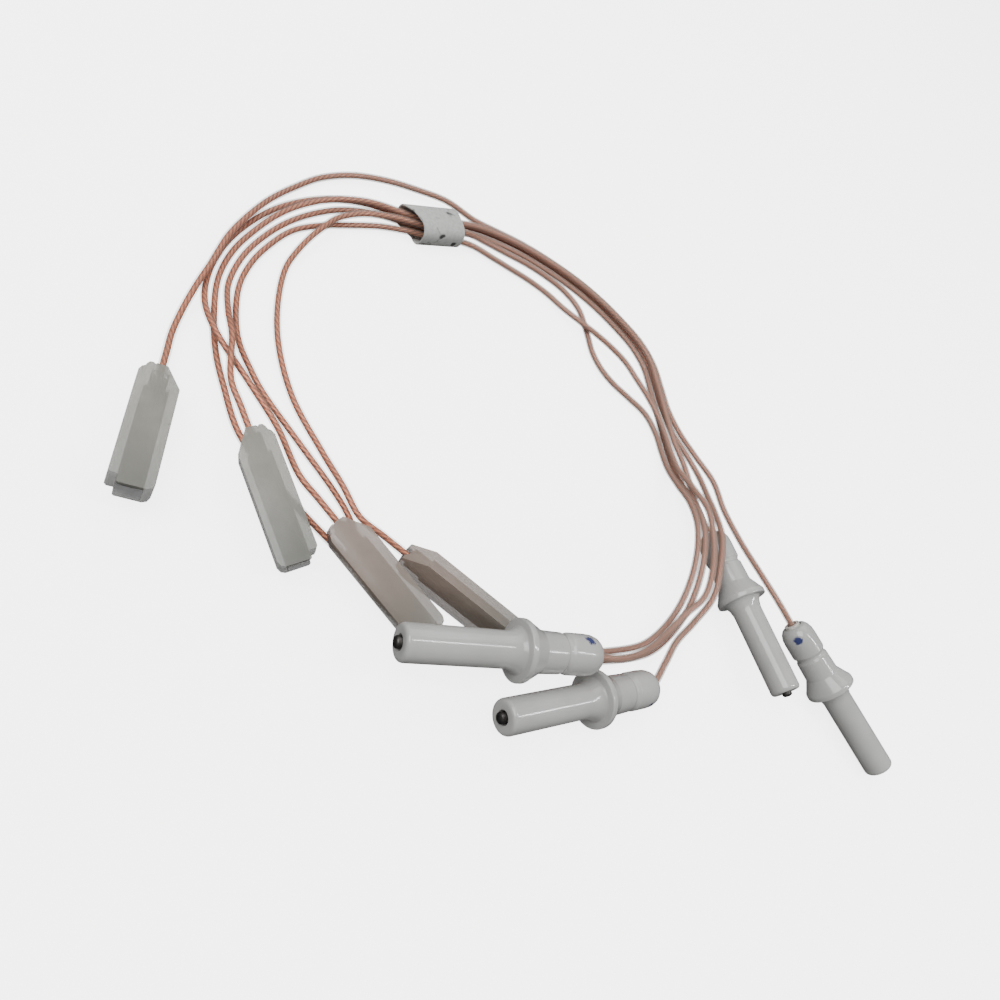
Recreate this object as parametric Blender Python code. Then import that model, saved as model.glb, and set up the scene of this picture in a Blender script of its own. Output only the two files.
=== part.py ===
"""Set of four burner ignition electrodes, each with its own lead and sleeved push-on terminal.

The set lies on a flat surface as it comes out of its bag: the four leads share one loose ring,
held by a paper label wrapped round it. Metres, +Z up. The origin is on that surface, under the
middle of the four ceramic electrodes.
"""

import math

import bpy
import bmesh
import numpy as np
from mathutils import Matrix, Vector

MM = 0.001

# Ceramic insulator, in mm along its axis from the nose
CERAMIC_LENGTH = 42.0
SHOULDER = 23.4
FLANGE_CENTRE = 24.0
STEM_R = 3.5
FLANGE_R = 6.0
TAIL_R = 4.05
GROOVE_R = 3.6
PIN_BORE_R = 1.4
TAIL_BORE_R = 2.2
TAIL_BORE_START = 19.0
CERAMIC_SIDES = 24

# Electrode pin, crimp ferrule and tail seal
PIN_R = 1.15
PIN_PROUD = 1.0
PIN_END = 25.5
FERRULE_R = 1.85
FERRULE_BORE_R = 1.45
FERRULE_SPAN = (19.6, 30.0)
SEAL_R = 1.9
SEAL_BORE_R = 1.2
SEAL_SPAN = (35.0, 42.4)
PIECE_SIDES = 16

# Lead: a stranded core in a clear jacket
LEAD_R = 0.9
LEAD_START = 27.0
CONDUCTOR_R = 0.4
STRAIGHT = 11.0

# Terminal sleeve, in mm from the lead end to the mouth
SLEEVE_LENGTH = 27.0
SLEEVE_WIDTH = 7.4
SLEEVE_THICK = 4.2
POCKET_HALF_WIDTH = 2.15
POCKET_HALF_HEIGHT = 1.4
SLEEVE_REAR_WALL = 1.2
SLEEVE_HOLE_R = 1.4

# Push-on receptacle inside the sleeve
LEAD_END = 10.6
CONDUCTOR_SPAN = (10.9, 15.3)
BARREL_SPAN = (11.5, 15.0)
BARREL_R = 1.15
BARREL_BORE_R = 0.75
SPRING_BOX_SPAN = (17.6, 25.4)
SPRING_BOX_HALF = 1.85
SPRING_BOX_FLOOR = -1.0
SPRING_BOX_TOP = 0.7
SHEET = 0.3

# Paper label round the ring of leads
LABEL_ANGLE = 157.1
LABEL_RADIUS = 54.0
LABEL_LENGTH = 12.0
LABEL_HALF_WIDTH = 4.8
LABEL_HALF_HEIGHT = 3.4
LABEL_THICK = 0.35
LABEL_SQUARENESS = 2.8

# The ring of leads: its centre, and its middle line as (angle, radius, lift) round that centre
RING_CENTRE = (0.0, 10.0)
RING_STEP = 7.0
RING_LINE = [
    (335, 62.4, 0), (347, 63.3, 0), (355, 63.6, 0.8), (363, 62.4, 3.2), (368, 60.7, 5.1),
    (372, 59.2, 6.6), (378, 56.9, 8.0), (386, 54.6, 7.8), (392, 52.8, 5.6), (399, 51.5, 2.6),
    (406, 51, 0.6), (416, 51, 0), (420, 51.5, 0), (429, 53, 0), (435, 55, 0), (443, 58, 0),
    (450, 57.5, 0), (465, 57, 0), (479, 56.5, 0), (491, 56.8, 0), (503, 56.5, 0.5),
    (508, 55.7, 1.0), (517, 54.5, 1.0), (525, 56.8, 1.0), (531, 60.8, 0.5), (538, 64.0, 0),
    (545, 65.7, 0), (552, 67.0, 0), (560, 68.0, 0), (568, 68.7, 0), (576, 68.3, 0),
]

# Electrodes: flange centre, heading of nose to tail in degrees, and tilt with the tail up
ELECTRODES = [
    ((37.1, -38.2, 13.35), 48.8, 0.0),
    ((56.2, -26.4, 6.1), 60.1, -6.2),
    ((69.8, 28.4, 6.1), 151.0, -6.0),
    ((101.7, 33.4, 6.1), 175.0, 5.8),
]

# Terminals: centre of the sleeve's lead end, heading to the mouth, pitch up, and roll
TERMINALS = [
    ((-43.3, -53.3, 3.0), -48.5, 7.5, 0.0),
    ((-25.2, -48.1, 5.4), -20.0, 0.0, 196.0),
    ((-2.4, -45.95, 5.4), 0.0, 0.0, 16.0),
    ((9.8, -37.9, 4.1), 14.5, 0.0, 82.0),
]
# Which terminal each electrode's lead ends in
TERMINAL_OF_LEAD = (3, 2, 1, 0)

# Middle of the four ceramics, on the surface, in the same millimetres
LAYOUT_ORIGIN = (73.11, -9.31, 0.09)


def ring(angle, radius, height):
    """A point round the ring's centre."""
    turn = math.radians(angle)
    x = RING_CENTRE[0] + radius * math.cos(turn)
    return (x, RING_CENTRE[1] + radius * math.sin(turn), height)


def along_ring(stations):
    """Points along the ring through (angle, offset outwards from its middle line, height)."""
    angles, offsets, heights = zip(*stations)
    count = max(2, round((angles[-1] - angles[0]) / RING_STEP) + 1)
    line_angles, line_radii, line_lifts = zip(*RING_LINE)
    points = []
    for angle in np.linspace(angles[0], angles[-1], count):
        radius = np.interp(angle, line_angles, line_radii) + np.interp(angle, angles, offsets)
        lift = np.interp(angle, line_angles, line_lifts)
        points.append(ring(angle, radius, np.interp(angle, angles, heights) + lift))
    return points


# The free part of each lead, from its electrode's tail to the straight run into its sleeve
ROUTES = [
    [(51.7, -21.8, 13.1), (54.3, -17.9, 11.9), (56.9, -12.0, 9.5), (59.2, -4.7, 7.0)]
    + along_ring([(353, -2.7, 4.9), (359, -2.3, 3.6), (364, -0.2, 3.6), (369, 1.6, 2.3),
                  (379, 1.3, 1.8), (385, 0.4, 3.0), (392, -1.0, 3.6), (400, -2.1, 3.4),
                  (416, -2.1, 3.3), (427, -4.1, 3.3), (442, -10.6, 3.3), (450, -11.4, 3.3),
                  (458, -12.6, 3.3), (465, -12.5, 2.6), (472, -10.8, 1.4), (478, -9.2, 1.2),
                  (495, -7.8, 1.2), (504, -5.2, 1.2), (509, -3.8, 1.2), (517, -3.3, 1.2),
                  (525, -3.4, 1.2), (531, -4.8, 1.2), (535, -5.7, 1.2), (542, -5.6, 1.2),
                  (549, -3.9, 1.2), (554, -3.15, 1.2), (574, -3.15, 1.2)])
    + [(-46.9, -32.8, 1.2), (-42.8, -35.1, 1.2), (-37.7, -36.7, 1.2), (-32.5, -37.9, 1.2),
       (-19.1, -38.9, 1.2), (-8.5, -39.6, 1.2), (-2.7, -40.6, 1.2),
       (4.0, -43.2, 1.2), (12.0, -44.0, 1.2), (22.0, -42.6, 1.2), (30.6, -39.8, 1.2),
       (38.2, -34.0, 1.2), (40.9, -29.9, 1.2), (46.2, -22.3, 1.2), (51.9, -14.2, 1.2)]
    + along_ring([(348, -3.2, 1.2), (416, -3.3, 1.2), (420, -3.5, 1.2), (427, -7.1, 1.2),
                  (435, -14.0, 1.2), (443, -18.7, 1.2), (452, -16.4, 1.2), (458, -12.6, 1.2),
                  (465, -6.8, 1.2), (472, -4.2, 1.2), (480, -3.3, 1.2), (497, -3.2, 1.3),
                  (506, -2.6, 2.7), (512, -2.4, 3.3), (525, -2.3, 3.3), (531, -3.2, 3.3),
                  (535, -3.7, 3.3)])
    + [(-60.0, 10.5, 3.4), (-60.3, 5.7, 3.4), (-59.5, 1.5, 3.4), (-58.5, -3.1, 3.0),
       (-57.0, -8.1, 2.0), (-54.2, -13.9, 1.2), (-42.7, -25.6, 1.2),
       (-29.3, -33.0, 1.2), (-15.7, -36.7, 2.2), (-7.6, -39.0, 3.8)],
    [(64.6, -2.6, 4.0), (63.9, 4.1, 3.8)]
    + along_ring([(362, 1.9, 1.2), (369, 4.0, 1.4), (379, 4.2, 1.5), (384, 4.8, 1.6),
                  (391, 5.9, 1.2), (398, 7.6, 1.2), (406, 8.2, 1.2), (414, 4.6, 1.2),
                  (422, 1.5, 1.2), (440, 1.1, 1.2), (505, 1.15, 1.2), (512, 1.3, 1.2),
                  (528, 1.3, 1.2), (535, 1.9, 1.2),
                  (545, 2.7, 1.2), (555, 3.1, 1.2), (574, 3.1, 1.2)])
    + [(-53.0, -36.0, 2.4), (-46.0, -38.9, 3.4), (-34.5, -40.3, 3.4), (-24.0, -41.9, 3.6)],
    [(47.4, 41.4, 3.2)]
    + along_ring([(406, 1.8, 3.0), (414, 0.2, 3.3), (517, 0.0, 3.3), (540, 0.4, 3.3),
                  (550, 1.0, 2.6), (560, 1.1, 1.3), (574, 1.1, 1.2)])
    + [(-50.3, -35.6, 1.2), (-43.2, -40.6, 1.2), (-36.4, -44.0, 1.2), (-27.0, -47.8, 1.2),
       (-15.0, -48.4, 1.2), (-4.8, -47.7, 1.2), (4.8, -46.8, 1.2), (14.5, -47.0, 1.2),
       (24.4, -45.2, 1.3), (31.4, -40.9, 3.0), (38.5, -34.2, 3.4), (41.2, -30.1, 3.4),
       (47.3, -22.6, 3.2), (53.8, -14.9, 1.8)]
    + along_ring([(348, -1.0, 1.2), (574, -1.05, 1.2)])
    + [(-49.6, -33.3, 3.2), (-43.6, -37.8, 5.5)],
    [(77.2, 36.6, 8.0), (70.0, 40.3, 6.4), (62.5, 45.4, 3.8), (53.5, 51.0, 2.0)]
    + along_ring([(404, 13.2, 1.2), (416, 6.6, 1.2), (424, 3.9, 1.2), (479, 3.3, 1.2),
                  (501, 3.4, 1.2), (507, 7.0, 1.2), (513, 11.4, 1.2), (522, 12.9, 1.2),
                  (532, 10.4, 1.2), (544, 6.9, 1.2), (551, 5.2, 2.0), (557, 4.0, 3.1),
                  (563, 3.3, 3.3), (573, 3.3, 3.3)])
    + [(-56.7, -35.4, 3.3), (-53.9, -40.2, 2.3)],
]
LEAD_POINTS = (80, 80, 80, 64)


def rise_and_heading(heading, rise):
    """Unit vector at a compass heading from +X and a rise above the surface, in degrees."""
    flat = math.cos(math.radians(rise))
    turn = math.radians(heading)
    return Vector((flat * math.cos(turn), flat * math.sin(turn), math.sin(math.radians(rise))))


def electrode_frame(number):
    """Nose point and axis of an electrode, in layout millimetres."""
    flange, heading, tilt = ELECTRODES[number]
    axis = rise_and_heading(heading, tilt)
    return Vector(flange) - axis * FLANGE_CENTRE, axis


def terminal_frame(number):
    """Lead-end centre, axis to the mouth and normal of the broad face of a terminal."""
    rear, heading, pitch, roll = TERMINALS[number]
    axis = rise_and_heading(heading, pitch)
    side = axis.cross(Vector((0, 0, 1))).normalized()
    turn = math.radians(roll)
    return Vector(rear), axis, side.cross(axis) * math.cos(turn) + side * math.sin(turn)


def lead_route(number):
    """Every route point of a lead, from inside its ceramic to inside its sleeve."""
    nose, axis = electrode_frame(number)
    rear, mouthwards, _ = terminal_frame(TERMINAL_OF_LEAD[number])
    start = [nose + axis * station for station in (LEAD_START, 34.0, CERAMIC_LENGTH)]
    end = [rear + mouthwards * station for station in (-STRAIGHT, -STRAIGHT / 2, 0.0, LEAD_END)]
    return np.array([*start, *ROUTES[number], *end], dtype=float)


def smooth_curve(points, per_span=12):
    """Centripetal Catmull-Rom curve through the points, with many points in each span."""
    first = 2 * points[0] - points[1]
    last = 2 * points[-1] - points[-2]
    padded = np.vstack([first, points, last])
    curve = []
    for a, b, c, d in zip(padded, padded[1:], padded[2:], padded[3:]):
        t1 = np.linalg.norm(b - a) ** 0.5
        t2 = t1 + np.linalg.norm(c - b) ** 0.5
        t3 = t2 + np.linalg.norm(d - c) ** 0.5
        for t in np.linspace(t1, t2, per_span, endpoint=False):
            ab = a + (b - a) * t / t1
            bc = b + (c - b) * (t - t1) / (t2 - t1)
            cd = c + (d - c) * (t - t2) / (t3 - t2)
            abc = ab + (bc - ab) * t / t2
            bcd = bc + (cd - bc) * (t - t1) / (t3 - t1)
            curve.append(abc + (bcd - abc) * (t - t1) / (t2 - t1))
    curve.append(points[-1])
    return np.array(curve)


def spread_points(curve, count, bend_weight=14.0):
    """The given number of points along a dense curve, closer together where it bends."""
    steps = np.diff(curve, axis=0)
    lengths = np.linalg.norm(steps, axis=1)
    ways = steps / lengths[:, None]
    turns = np.linalg.norm(np.diff(ways, axis=0), axis=1)
    cost = lengths + bend_weight * np.append(turns, 0.0)
    reached = np.concatenate([[0.0], np.cumsum(cost)])
    wanted = np.linspace(0.0, reached[-1], count)
    return np.stack([np.interp(wanted, reached, curve[:, i]) for i in range(3)], axis=1)


def placed(point):
    """Layout millimetres to metres in the part's own frame."""
    return (Vector(point) - Vector(LAYOUT_ORIGIN)) * MM


def make_material(name, colour, roughness, metallic=0.0, alpha=1.0):
    """Principled material."""
    material = bpy.data.materials.new(name)
    material.use_nodes = True
    shader = material.node_tree.nodes["Principled BSDF"]
    shader.inputs["Base Color"].default_value = (*colour, 1.0)
    shader.inputs["Roughness"].default_value = roughness
    shader.inputs["Metallic"].default_value = metallic
    shader.inputs["Alpha"].default_value = alpha
    return material


def add_object(name, data, material, parent=None):
    """Links a named object with its material, under an empty if one is given."""
    obj = bpy.data.objects.new(name, data)
    bpy.context.collection.objects.link(obj)
    if not data.materials:
        data.materials.append(material)
    obj.parent = parent
    return obj


def add_frame(name, location, x_axis, y_axis, z_axis):
    """An empty at a layout point with the given axes."""
    empty = bpy.data.objects.new(name, None)
    bpy.context.collection.objects.link(empty)
    turn = Matrix((x_axis, y_axis, z_axis)).transposed().to_4x4()
    empty.matrix_world = Matrix.Translation(placed(location)) @ turn
    return empty


def profile_mesh(name, profile, closed):
    """Mesh of the edges through (radius, station) points in millimetres."""
    mesh = bpy.data.meshes.new(name)
    count = len(profile)
    edges = [(i, (i + 1) % count) for i in range(count if closed else count - 1)]
    mesh.from_pydata([(r * MM, 0.0, z * MM) for r, z in profile], edges, [])
    return mesh


def add_turned(name, profile, sides, material, parent, closed=True):
    """A turned piece: the profile screwed once round the local Z axis."""
    obj = add_object(name, profile_mesh(name, profile, closed), material, parent)
    screw = obj.modifiers.new("turn", "SCREW")
    screw.steps = sides
    screw.render_steps = sides
    screw.use_merge_vertices = True
    screw.merge_threshold = 0.00001
    screw.use_smooth_shade = True
    return obj


def ceramic_profile():
    """Outside from the tail to the nose, then the stepped bore back to the tail."""
    outside = [
        (TAIL_BORE_R, CERAMIC_LENGTH), (3.0, 41.5), (3.7, 40.4), (TAIL_R, 38.6),
        (TAIL_R, 34.4), (GROOVE_R, 33.8), (GROOVE_R, 33.2), (3.95, 32.8), (4.1, 28.0),
        (5.6, 25.2), (FLANGE_R, 24.6), (FLANGE_R, SHOULDER), (4.5, SHOULDER),
        (3.85, 22.2), (STEM_R, 20.6), (STEM_R, 0.9), (3.2, 0.3), (2.7, 0.0),
    ]
    bore = [
        (PIN_BORE_R, 0.0), (PIN_BORE_R, TAIL_BORE_START), (TAIL_BORE_R, TAIL_BORE_START),
    ]
    return outside + bore


def tube_profile(outer, inner, span):
    """A plain tube between two stations, outer side first, from the tail end down."""
    return [(outer, span[1]), (outer, span[0]), (inner, span[0]), (inner, span[1])]


def pin_profile():
    """A solid pin with a domed tip, from its inner end down to the tip."""
    dome = [(PIN_R, -0.5), (0.85, -0.8), (0.45, -0.95), (0.0, -PIN_PROUD)]
    return [(0.0, PIN_END), (PIN_R, PIN_END)] + dome


def extruded(name, outline, low, high, axis):
    """A closed outline extruded between two heights along an axis index (0 for X, 2 for Z)."""
    work = bmesh.new()
    if axis == 2:
        corners = [work.verts.new((x * MM, y * MM, low * MM)) for x, y in outline]
    else:
        corners = [work.verts.new((low * MM, y * MM, z * MM)) for y, z in outline]
    face = work.faces.new(corners)
    made = bmesh.ops.extrude_face_region(work, geom=[face])["geom"]
    shift = Vector((0.0, 0.0, 0.0))
    shift[axis] = (high - low) * MM
    bmesh.ops.translate(work, verts=[v for v in made if isinstance(v, bmesh.types.BMVert)], vec=shift)
    bmesh.ops.recalc_face_normals(work, faces=work.faces)
    mesh = bpy.data.meshes.new(name)
    work.to_mesh(mesh)
    work.free()
    return mesh


def box_mesh(name, low, high):
    """A box between two corners in millimetres."""
    outline = [(low[0], low[1]), (high[0], low[1]), (high[0], high[1]), (low[0], high[1])]
    return extruded(name, outline, low[2], high[2], 2)


def rod_mesh(name, radius, span, sides=PIECE_SIDES):
    """A round rod along the local X axis."""
    angles = [2 * math.pi * (i + 0.5) / sides for i in range(sides)]
    outline = [(radius * math.cos(a), radius * math.sin(a)) for a in angles]
    return extruded(name, outline, span[0], span[1], 0)


def combined(name, start, steps):
    """One mesh from a start mesh and (operation, mesh) Boolean steps."""
    base = add_object(name + "_blank", start, None)
    tools = []
    for number, (operation, mesh) in enumerate(steps):
        tool = add_object(f"{name}_tool_{number}", mesh, None)
        tool.hide_render = True
        tool.display_type = "WIRE"
        tools.append(tool)
        change = base.modifiers.new(operation.lower(), "BOOLEAN")
        change.operation = operation
        change.object = tool
    bpy.context.view_layer.update()
    graph = bpy.context.evaluated_depsgraph_get()
    made = bpy.data.meshes.new_from_object(base.evaluated_get(graph))
    made.name = name
    made.materials.clear()
    for helper in [base, *tools]:
        bpy.data.objects.remove(helper)
    return made


def sleeve_outline():
    """Plan of the sleeve: lead end at 0 with a bevel one side and a lug the other."""
    half = SLEEVE_WIDTH / 2
    end = SLEEVE_LENGTH
    lead_end = [
        (4.6, half), (0.5, 1.2), (0.0, 0.9), (0.0, -1.0), (0.3, -1.2), (0.0, -1.6),
        (0.1, -2.2), (0.7, -2.6), (1.3, -2.8), (1.7, -3.3), (2.6, -half),
    ]
    mouth = [
        (end - 2.0, -half), (end - 1.6, -half + 0.4), (end - 1.6, -half + 1.5),
        (end - 0.2, -half + 1.6), (end, -half + 1.9), (end, half - 1.2), (end - 0.4, half - 0.4),
        (end - 1.3, half),
    ]
    return lead_end + mouth


def sleeve_mesh():
    """The sleeve with its pocket open at the mouth and a round hole for the lead."""
    thick = SLEEVE_THICK / 2
    wide = POCKET_HALF_WIDTH
    tall = POCKET_HALF_HEIGHT
    blank = extruded("sleeve_blank", sleeve_outline(), -thick, thick, 2)
    pocket = box_mesh("pocket", (5.2, -wide, -tall), (SLEEVE_LENGTH + 1, wide, tall))
    throat = box_mesh("throat", (SLEEVE_REAR_WALL, -1.5, -tall + 0.05), (6.0, 1.5, tall - 0.05))
    hole = rod_mesh("hole", SLEEVE_HOLE_R, (-1.0, SLEEVE_REAR_WALL + 0.5))
    cuts = [("DIFFERENCE", pocket), ("DIFFERENCE", throat), ("DIFFERENCE", hole)]
    return combined("terminal_sleeve", blank, cuts)


def spring_section():
    """Section of the receptacle: a floor with both edges rolled over, as one closed outline."""
    turn_r = (SPRING_BOX_TOP - SPRING_BOX_FLOOR - SHEET) / 2
    turn_y = SPRING_BOX_HALF - SHEET / 2 - turn_r
    centre_z = SPRING_BOX_FLOOR + SHEET / 2 + turn_r
    middle = []
    for step in range(9):
        angle = math.radians(-90 + 180 * step / 8)
        middle.append((turn_y + turn_r * math.cos(angle), centre_z + turn_r * math.sin(angle)))
    middle += [(turn_y - 0.32, centre_z + turn_r), (turn_y - 0.56, centre_z + 0.7 * turn_r)]
    middle.append((turn_y - 0.6, centre_z + 0.1))
    half = SHEET / 2
    outer, inner = [], []
    for i, (y, z) in enumerate(middle):
        before = middle[max(i - 1, 0)]
        after = middle[min(i + 1, len(middle) - 1)]
        run = Vector((after[0] - before[0], after[1] - before[1])).normalized()
        outer.append((y + run.y * half, z - run.x * half))
        inner.append((y - run.y * half, z + run.x * half))
    right = outer + inner[::-1]
    left = [(-y, z) for y, z in reversed(right)]
    return right + left


def receptacle_mesh():
    """Push-on receptacle: spring box, neck and crimp barrel in one sheet-metal piece."""
    box = extruded("spring_box", spring_section(), *SPRING_BOX_SPAN, 0)
    floor_z = SPRING_BOX_FLOOR + SHEET / 2
    neck = box_mesh(
        "neck", (BARREL_SPAN[0] + 0.6, -0.9, floor_z - 0.12), (18.4, 0.9, floor_z + 0.12)
    )
    barrel = rod_mesh("barrel", BARREL_R, BARREL_SPAN, 12)
    bore = rod_mesh("bore", BARREL_BORE_R, (BARREL_SPAN[0] - 1, BARREL_SPAN[1] + 1), 12)
    steps = [("UNION", neck), ("UNION", barrel), ("DIFFERENCE", bore)]
    return combined("receptacle", box, steps)


def flattened(ratio):
    """Pushes a sine or cosine outwards, so that an ellipse becomes a rounded rectangle."""
    return math.copysign(abs(ratio) ** (2 / LABEL_SQUARENESS), ratio)


def label_mesh():
    """A loose oval band of paper, along the local X axis."""
    sides = 24
    work = bmesh.new()
    rings = []
    for x, inset in ((0, 0), (1, 0), (1, 1), (0, 1)):
        ring_verts = []
        for i in range(sides):
            angle = 2 * math.pi * (i + 0.5) / sides
            y = (LABEL_HALF_WIDTH - inset * LABEL_THICK) * flattened(math.cos(angle))
            z = (LABEL_HALF_HEIGHT - inset * LABEL_THICK) * flattened(math.sin(angle))
            ring_verts.append(work.verts.new(((x - 0.5) * LABEL_LENGTH * MM, y * MM, z * MM)))
        rings.append(ring_verts)
    for here, there in zip(rings, rings[1:] + rings[:1]):
        for i in range(sides):
            after = (i + 1) % sides
            work.faces.new((here[i], there[i], there[after], here[after]))
    bmesh.ops.recalc_face_normals(work, faces=work.faces)
    mesh = bpy.data.meshes.new("label_wrap")
    work.to_mesh(mesh)
    work.free()
    return mesh


def add_lead(name, number, material):
    """A round lead as a bevelled curve along its smooth route."""
    points = spread_points(smooth_curve(lead_route(number)), LEAD_POINTS[number])
    curve = bpy.data.curves.new(name, "CURVE")
    curve.dimensions = "3D"
    curve.bevel_depth = LEAD_R * MM
    curve.bevel_resolution = 2
    curve.use_fill_caps = True
    spline = curve.splines.new("POLY")
    spline.points.add(len(points) - 1)
    for point, place in zip(spline.points, points):
        point.co = (*placed(place), 1.0)
    return add_object(name, curve, material)


def smooth_by_angle(obj, degrees=35):
    """Round faces smooth, real edges sharp."""
    obj.data.shade_smooth()
    obj.data.set_sharp_from_angle(angle=math.radians(degrees))


def build():
    """Clears the scene and makes the whole set."""
    for obj in list(bpy.data.objects):
        bpy.data.objects.remove(obj)

    ceramic = make_material("glazed_ceramic", (0.72, 0.72, 0.70), 0.15)
    pin_steel = make_material("pin_steel", (0.20, 0.19, 0.18), 0.4, 1.0)
    tinned = make_material("tinned_steel", (0.55, 0.55, 0.53), 0.35, 1.0)
    cement = make_material("cement", (0.75, 0.73, 0.68), 0.8)
    jacket = make_material("clear_jacket", (0.55, 0.28, 0.20), 0.35)
    copper = make_material("bare_copper", (0.72, 0.32, 0.20), 0.3, 1.0)
    milky = make_material("milky_plastic", (0.56, 0.53, 0.47), 0.4, 0.0, 0.6)
    paper = make_material("label_paper", (0.60, 0.60, 0.57), 0.7)

    for number in range(len(ELECTRODES)):
        nose, axis = electrode_frame(number)
        side = axis.cross(Vector((0, 0, 1))).normalized()
        frame = add_frame(f"electrode_{number + 1}", nose, side, axis.cross(side), axis)
        tag = number + 1
        add_turned(f"ceramic_body_{tag}", ceramic_profile(), CERAMIC_SIDES, ceramic, frame)
        add_turned(f"electrode_pin_{tag}", pin_profile(), PIECE_SIDES, pin_steel, frame, False)
        ferrule = tube_profile(FERRULE_R, FERRULE_BORE_R, FERRULE_SPAN)
        add_turned(f"crimp_ferrule_{tag}", ferrule, PIECE_SIDES, tinned, frame)
        seal = tube_profile(SEAL_R, SEAL_BORE_R, SEAL_SPAN)
        add_turned(f"tail_seal_{tag}", seal, PIECE_SIDES, cement, frame)
        add_lead(f"lead_{tag}", number, jacket)

    sleeve = sleeve_mesh()
    receptacle = receptacle_mesh()
    conductor = rod_mesh("conductor_end", CONDUCTOR_R, CONDUCTOR_SPAN, 10)
    for number, end in enumerate(TERMINAL_OF_LEAD):
        rear, axis, face = terminal_frame(end)
        frame = add_frame(f"terminal_{number + 1}", rear, axis, face.cross(axis), face)
        tag = number + 1
        smooth_by_angle(add_object(f"terminal_sleeve_{tag}", sleeve, milky, frame))
        smooth_by_angle(add_object(f"receptacle_{tag}", receptacle, tinned, frame))
        smooth_by_angle(add_object(f"conductor_end_{tag}", conductor, copper, frame))

    tangent = rise_and_heading(LABEL_ANGLE + 90.0, 0.0)
    up = Vector((0, 0, 1))
    centre = ring(LABEL_ANGLE, LABEL_RADIUS, LABEL_HALF_HEIGHT + 0.1)
    frame = add_frame("label_place", centre, tangent, up.cross(tangent), up)
    smooth_by_angle(add_object("label_wrap", label_mesh(), paper, frame))


build()
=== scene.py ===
# %% [markdown]
# # Four ignition electrodes with their leads
# A gas burner lights from a spark, and the spark jumps from a steel pin held in a ceramic tube.
# This set has four of them. Each ceramic has a long lead, and each lead ends in a sleeved
# push-on receptacle. The pieces could be built by eye, but the engineering model already holds
# their sizes and places. It is loaded first and never moves, and the new pieces lie where it says.

# %% Load the frame
import math

import bpy
import bmesh
import numpy as np
from mathutils import Matrix, Vector


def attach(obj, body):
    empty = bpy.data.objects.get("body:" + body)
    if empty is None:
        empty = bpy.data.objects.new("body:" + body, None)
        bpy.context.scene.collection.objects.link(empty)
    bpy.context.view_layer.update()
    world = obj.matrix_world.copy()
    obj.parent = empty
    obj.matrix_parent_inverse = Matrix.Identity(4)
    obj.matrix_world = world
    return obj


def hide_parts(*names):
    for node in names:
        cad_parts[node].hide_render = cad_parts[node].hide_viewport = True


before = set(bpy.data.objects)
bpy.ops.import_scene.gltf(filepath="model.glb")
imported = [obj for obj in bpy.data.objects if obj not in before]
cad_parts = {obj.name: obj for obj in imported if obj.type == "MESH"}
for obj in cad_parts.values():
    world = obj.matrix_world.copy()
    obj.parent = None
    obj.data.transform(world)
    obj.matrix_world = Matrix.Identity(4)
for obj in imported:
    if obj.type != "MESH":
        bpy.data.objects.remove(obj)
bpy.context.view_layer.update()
MM = 0.001

# %% [markdown]
# The set lies loosely on a flat surface. Its places could be written in the model's metres, but a
# ring is easier to read as angles and radii round its own centre, in millimetres. The layout's
# origin in the same millimetres then turns a layout place into one in the model.

# %% The layout
RING_CENTRE = (0.0, 10.0)
RING_STEP = 7.0
LAYOUT_ORIGIN = (73.11, -9.31, 0.09)
CERAMIC_LENGTH = 42.0
FLANGE_CENTRE = 24.0
LEAD_START = 27.0
LEAD_INSIDE = 34.0
LEAD_END = 10.6
STRAIGHT = 11.0
SLEEVE_LENGTH = 27.0

# The ring's middle line as (angle, radius, lift)
RING_LINE = [
    (335, 62.4, 0), (347, 63.3, 0), (355, 63.6, 0.8), (363, 62.4, 3.2), (368, 60.7, 5.1),
    (372, 59.2, 6.6), (378, 56.9, 8.0), (386, 54.6, 7.8), (392, 52.8, 5.6), (399, 51.5, 2.6),
    (406, 51, 0.6), (416, 51, 0), (420, 51.5, 0), (429, 53, 0), (435, 55, 0), (443, 58, 0),
    (450, 57.5, 0), (465, 57, 0), (479, 56.5, 0), (491, 56.8, 0), (503, 56.5, 0.5),
    (508, 55.7, 1.0), (517, 54.5, 1.0), (525, 56.8, 1.0), (531, 60.8, 0.5), (538, 64.0, 0),
    (545, 65.7, 0), (552, 67.0, 0), (560, 68.0, 0), (568, 68.7, 0), (576, 68.3, 0),
]

# Electrodes: flange centre, heading of nose to tail, and tilt with the tail up
ELECTRODES = [
    ((37.1, -38.2, 13.35), 48.8, 0.0),
    ((56.2, -26.4, 6.1), 60.1, -6.2),
    ((69.8, 28.4, 6.1), 151.0, -6.0),
    ((101.7, 33.4, 6.1), 175.0, 5.8),
]

# Terminals: centre of the sleeve's lead end, heading to the mouth, pitch up, and roll
TERMINALS = [
    ((-43.3, -53.3, 3.0), -48.5, 7.5, 0.0),
    ((-25.2, -48.1, 5.4), -20.0, 0.0, 196.0),
    ((-2.4, -45.95, 5.4), 0.0, 0.0, 16.0),
    ((9.8, -37.9, 4.1), 14.5, 0.0, 82.0),
]
TERMINAL_OF_LEAD = (3, 2, 1, 0)
TAGS = (1, 2, 3, 4)


def placed(point):
    """Layout millimetres to metres in the model's frame."""
    return (Vector(point) - Vector(LAYOUT_ORIGIN)) * MM


def rise_and_heading(heading, rise):
    """Unit vector at a heading from +X and a rise above the surface, both in degrees."""
    flat = math.cos(math.radians(rise))
    turn = math.radians(heading)
    return Vector((flat * math.cos(turn), flat * math.sin(turn), math.sin(math.radians(rise))))


def electrode_frame(number):
    """Nose point and axis of an electrode."""
    flange, heading, tilt = ELECTRODES[number]
    axis = rise_and_heading(heading, tilt)
    return Vector(flange) - axis * FLANGE_CENTRE, axis


def terminal_frame(number):
    """Lead-end centre and axis to the mouth of a terminal."""
    rear, heading, pitch, _ = TERMINALS[number]
    return Vector(rear), rise_and_heading(heading, pitch)


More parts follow.
